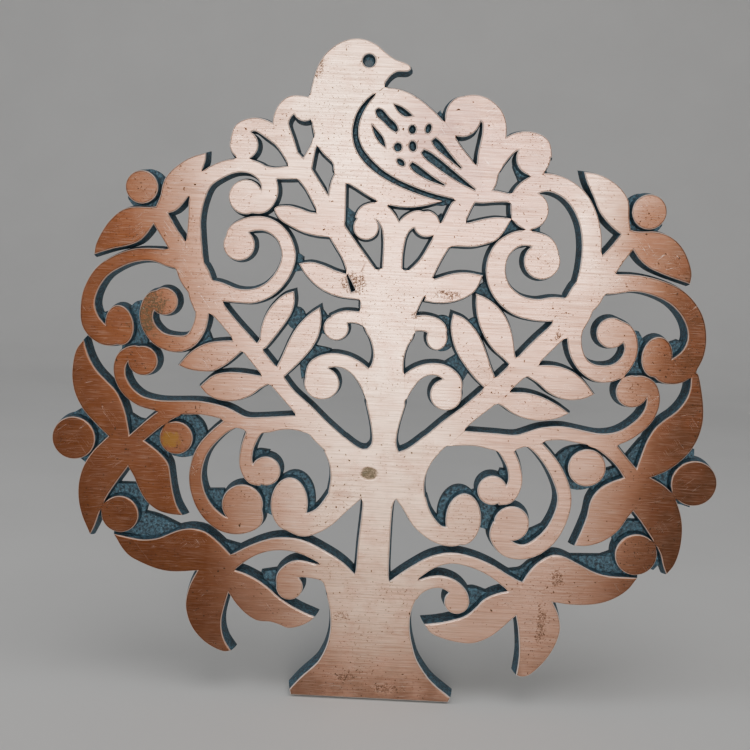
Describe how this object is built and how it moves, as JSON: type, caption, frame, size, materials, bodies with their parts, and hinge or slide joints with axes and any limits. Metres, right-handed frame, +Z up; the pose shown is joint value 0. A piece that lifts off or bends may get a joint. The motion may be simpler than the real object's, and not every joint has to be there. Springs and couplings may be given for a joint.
{
  "type": "tree of life wall plaque",
  "caption": "Flat openwork tree of life in antiqued copper, with scrolled branches, pointed leaves, round berries and a bird on top; for a wall, a shelf, or as a trivet.",
  "frame": {"origin": "on the flat back face, on the trunk's axis, half way up the tree", "axes": "+Z up the tree, face towards -Y, back face on Y = 0, +X to the right seen from the front"},
  "size_m": [0.1684, 0.006, 0.1661],
  "materials": {
    "arch_left": "brushed antique copper, bright",
    "arch_right": "brushed antique copper, bright",
    "berry_low_left": "brushed antique copper, darkened",
    "berry_low_right": "brushed antique copper, bright",
    "berry_mid_left": "brushed antique copper, darkened",
    "berry_mid_right": "brushed antique copper, bright",
    "berry_outer_left": "brushed antique copper, darkened",
    "berry_outer_right": "brushed antique copper, darkened",
    "berry_top_left": "brushed antique copper, darkened",
    "berry_top_right": "brushed antique copper, warm",
    "bird_body": "brushed antique copper, bright",
    "bird_wing": "brushed antique copper, bright",
    "branch_left": "brushed antique copper, warm",
    "branch_right": "brushed antique copper, warm",
    "crown_curls_left": "brushed antique copper, bright",
    "crown_curls_right": "brushed antique copper, bright",
    "curl_outer_left": "brushed antique copper, warm",
    "curl_outer_right": "brushed antique copper, warm",
    "foot_curl_left": "brushed antique copper, bright",
    "foot_curl_right": "brushed antique copper, bright",
    "fork_curls": "brushed antique copper, bright",
    "leaf_crown_left": "brushed antique copper, bright",
    "leaf_crown_right": "brushed antique copper, bright",
    "leaf_inner_left_lower": "brushed antique copper, warm",
    "leaf_inner_left_upper": "brushed antique copper, warm",
    "leaf_inner_right_lower": "brushed antique copper, bright",
    "leaf_inner_right_upper": "brushed antique copper, bright",
    "leaf_mid_left": "brushed antique copper, bright",
    "leaf_mid_right": "brushed antique copper, bright",
    "leaf_outer_left_lower": "brushed antique copper, warm",
    "leaf_outer_left_upper": "brushed antique copper, warm",
    "leaf_outer_right_lower": "brushed antique copper, warm",
    "leaf_outer_right_upper": "brushed antique copper, warm",
    "leaf_pair_left": "brushed antique copper, darkened",
    "leaf_pair_right": "brushed antique copper, warm",
    "limb_left": "brushed antique copper, bright",
    "limb_right": "brushed antique copper, bright",
    "ring_inner_left": "brushed antique copper, warm",
    "ring_inner_right": "brushed antique copper, bright",
    "ring_outer_left": "brushed antique copper, warm",
    "ring_outer_right": "brushed antique copper, bright",
    "root_scroll_left": "brushed antique copper, bright",
    "root_scroll_right": "brushed antique copper, bright",
    "scroll_outer_left": "brushed antique copper, warm",
    "scroll_outer_right": "brushed antique copper, warm",
    "side_branch_left": "brushed antique copper, warm",
    "side_branch_right": "brushed antique copper, bright",
    "side_curl_left": "brushed antique copper, warm",
    "side_curl_right": "brushed antique copper, bright",
    "side_scroll_left": "brushed antique copper, warm",
    "side_scroll_right": "brushed antique copper, bright",
    "spray_lower_left": "brushed antique copper, darkened",
    "spray_lower_right": "brushed antique copper, warm",
    "spray_outer_left": "brushed antique copper, darkened",
    "spray_outer_right": "brushed antique copper, darkened",
    "trunk": "brushed antique copper, bright",
    "trunk_curl_lower_left": "brushed antique copper, bright",
    "trunk_curl_lower_right": "brushed antique copper, bright",
    "trunk_curl_upper_left": "brushed antique copper, bright",
    "trunk_curl_upper_right": "brushed antique copper, bright"
  },
  "bodies": {
    "root": {"arch_left": "arch_left", "arch_right": "arch_right", "berry_low_left": "berry_low_left", "berry_low_right": "berry_low_right", "berry_mid_left": "berry_mid_left", "berry_mid_right": "berry_mid_right", "berry_outer_left": "berry_outer_left", "berry_outer_right": "berry_outer_right", "berry_top_left": "berry_top_left", "berry_top_right": "berry_top_right", "bird_body": "bird_body", "bird_wing": "bird_wing", "branch_left": "branch_left", "branch_right": "branch_right", "crown_curls_left": "crown_curls_left", "crown_curls_right": "crown_curls_right", "curl_outer_left": "curl_outer_left", "curl_outer_right": "curl_outer_right", "foot_curl_left": "foot_curl_left", "foot_curl_right": "foot_curl_right", "fork_curls": "fork_curls", "leaf_crown_left": "leaf_crown_left", "leaf_crown_right": "leaf_crown_right", "leaf_inner_left_lower": "leaf_inner_left_lower", "leaf_inner_left_upper": "leaf_inner_left_upper", "leaf_inner_right_lower": "leaf_inner_right_lower", "leaf_inner_right_upper": "leaf_inner_right_upper", "leaf_mid_left": "leaf_mid_left", "leaf_mid_right": "leaf_mid_right", "leaf_outer_left_lower": "leaf_outer_left_lower", "leaf_outer_left_upper": "leaf_outer_left_upper", "leaf_outer_right_lower": "leaf_outer_right_lower", "leaf_outer_right_upper": "leaf_outer_right_upper", "leaf_pair_left": "leaf_pair_left", "leaf_pair_right": "leaf_pair_right", "limb_left": "limb_left", "limb_right": "limb_right", "ring_inner_left": "ring_inner_left", "ring_inner_right": "ring_inner_right", "ring_outer_left": "ring_outer_left", "ring_outer_right": "ring_outer_right", "root_scroll_left": "root_scroll_left", "root_scroll_right": "root_scroll_right", "scroll_outer_left": "scroll_outer_left", "scroll_outer_right": "scroll_outer_right", "side_branch_left": "side_branch_left", "side_branch_right": "side_branch_right", "side_curl_left": "side_curl_left", "side_curl_right": "side_curl_right", "side_scroll_left": "side_scroll_left", "side_scroll_right": "side_scroll_right", "spray_lower_left": "spray_lower_left", "spray_lower_right": "spray_lower_right", "spray_outer_left": "spray_outer_left", "spray_outer_right": "spray_outer_right", "trunk": "trunk", "trunk_curl_lower_left": "trunk_curl_lower_left", "trunk_curl_lower_right": "trunk_curl_lower_right", "trunk_curl_upper_left": "trunk_curl_upper_left", "trunk_curl_upper_right": "trunk_curl_upper_right"}
  },
  "joints": []
}
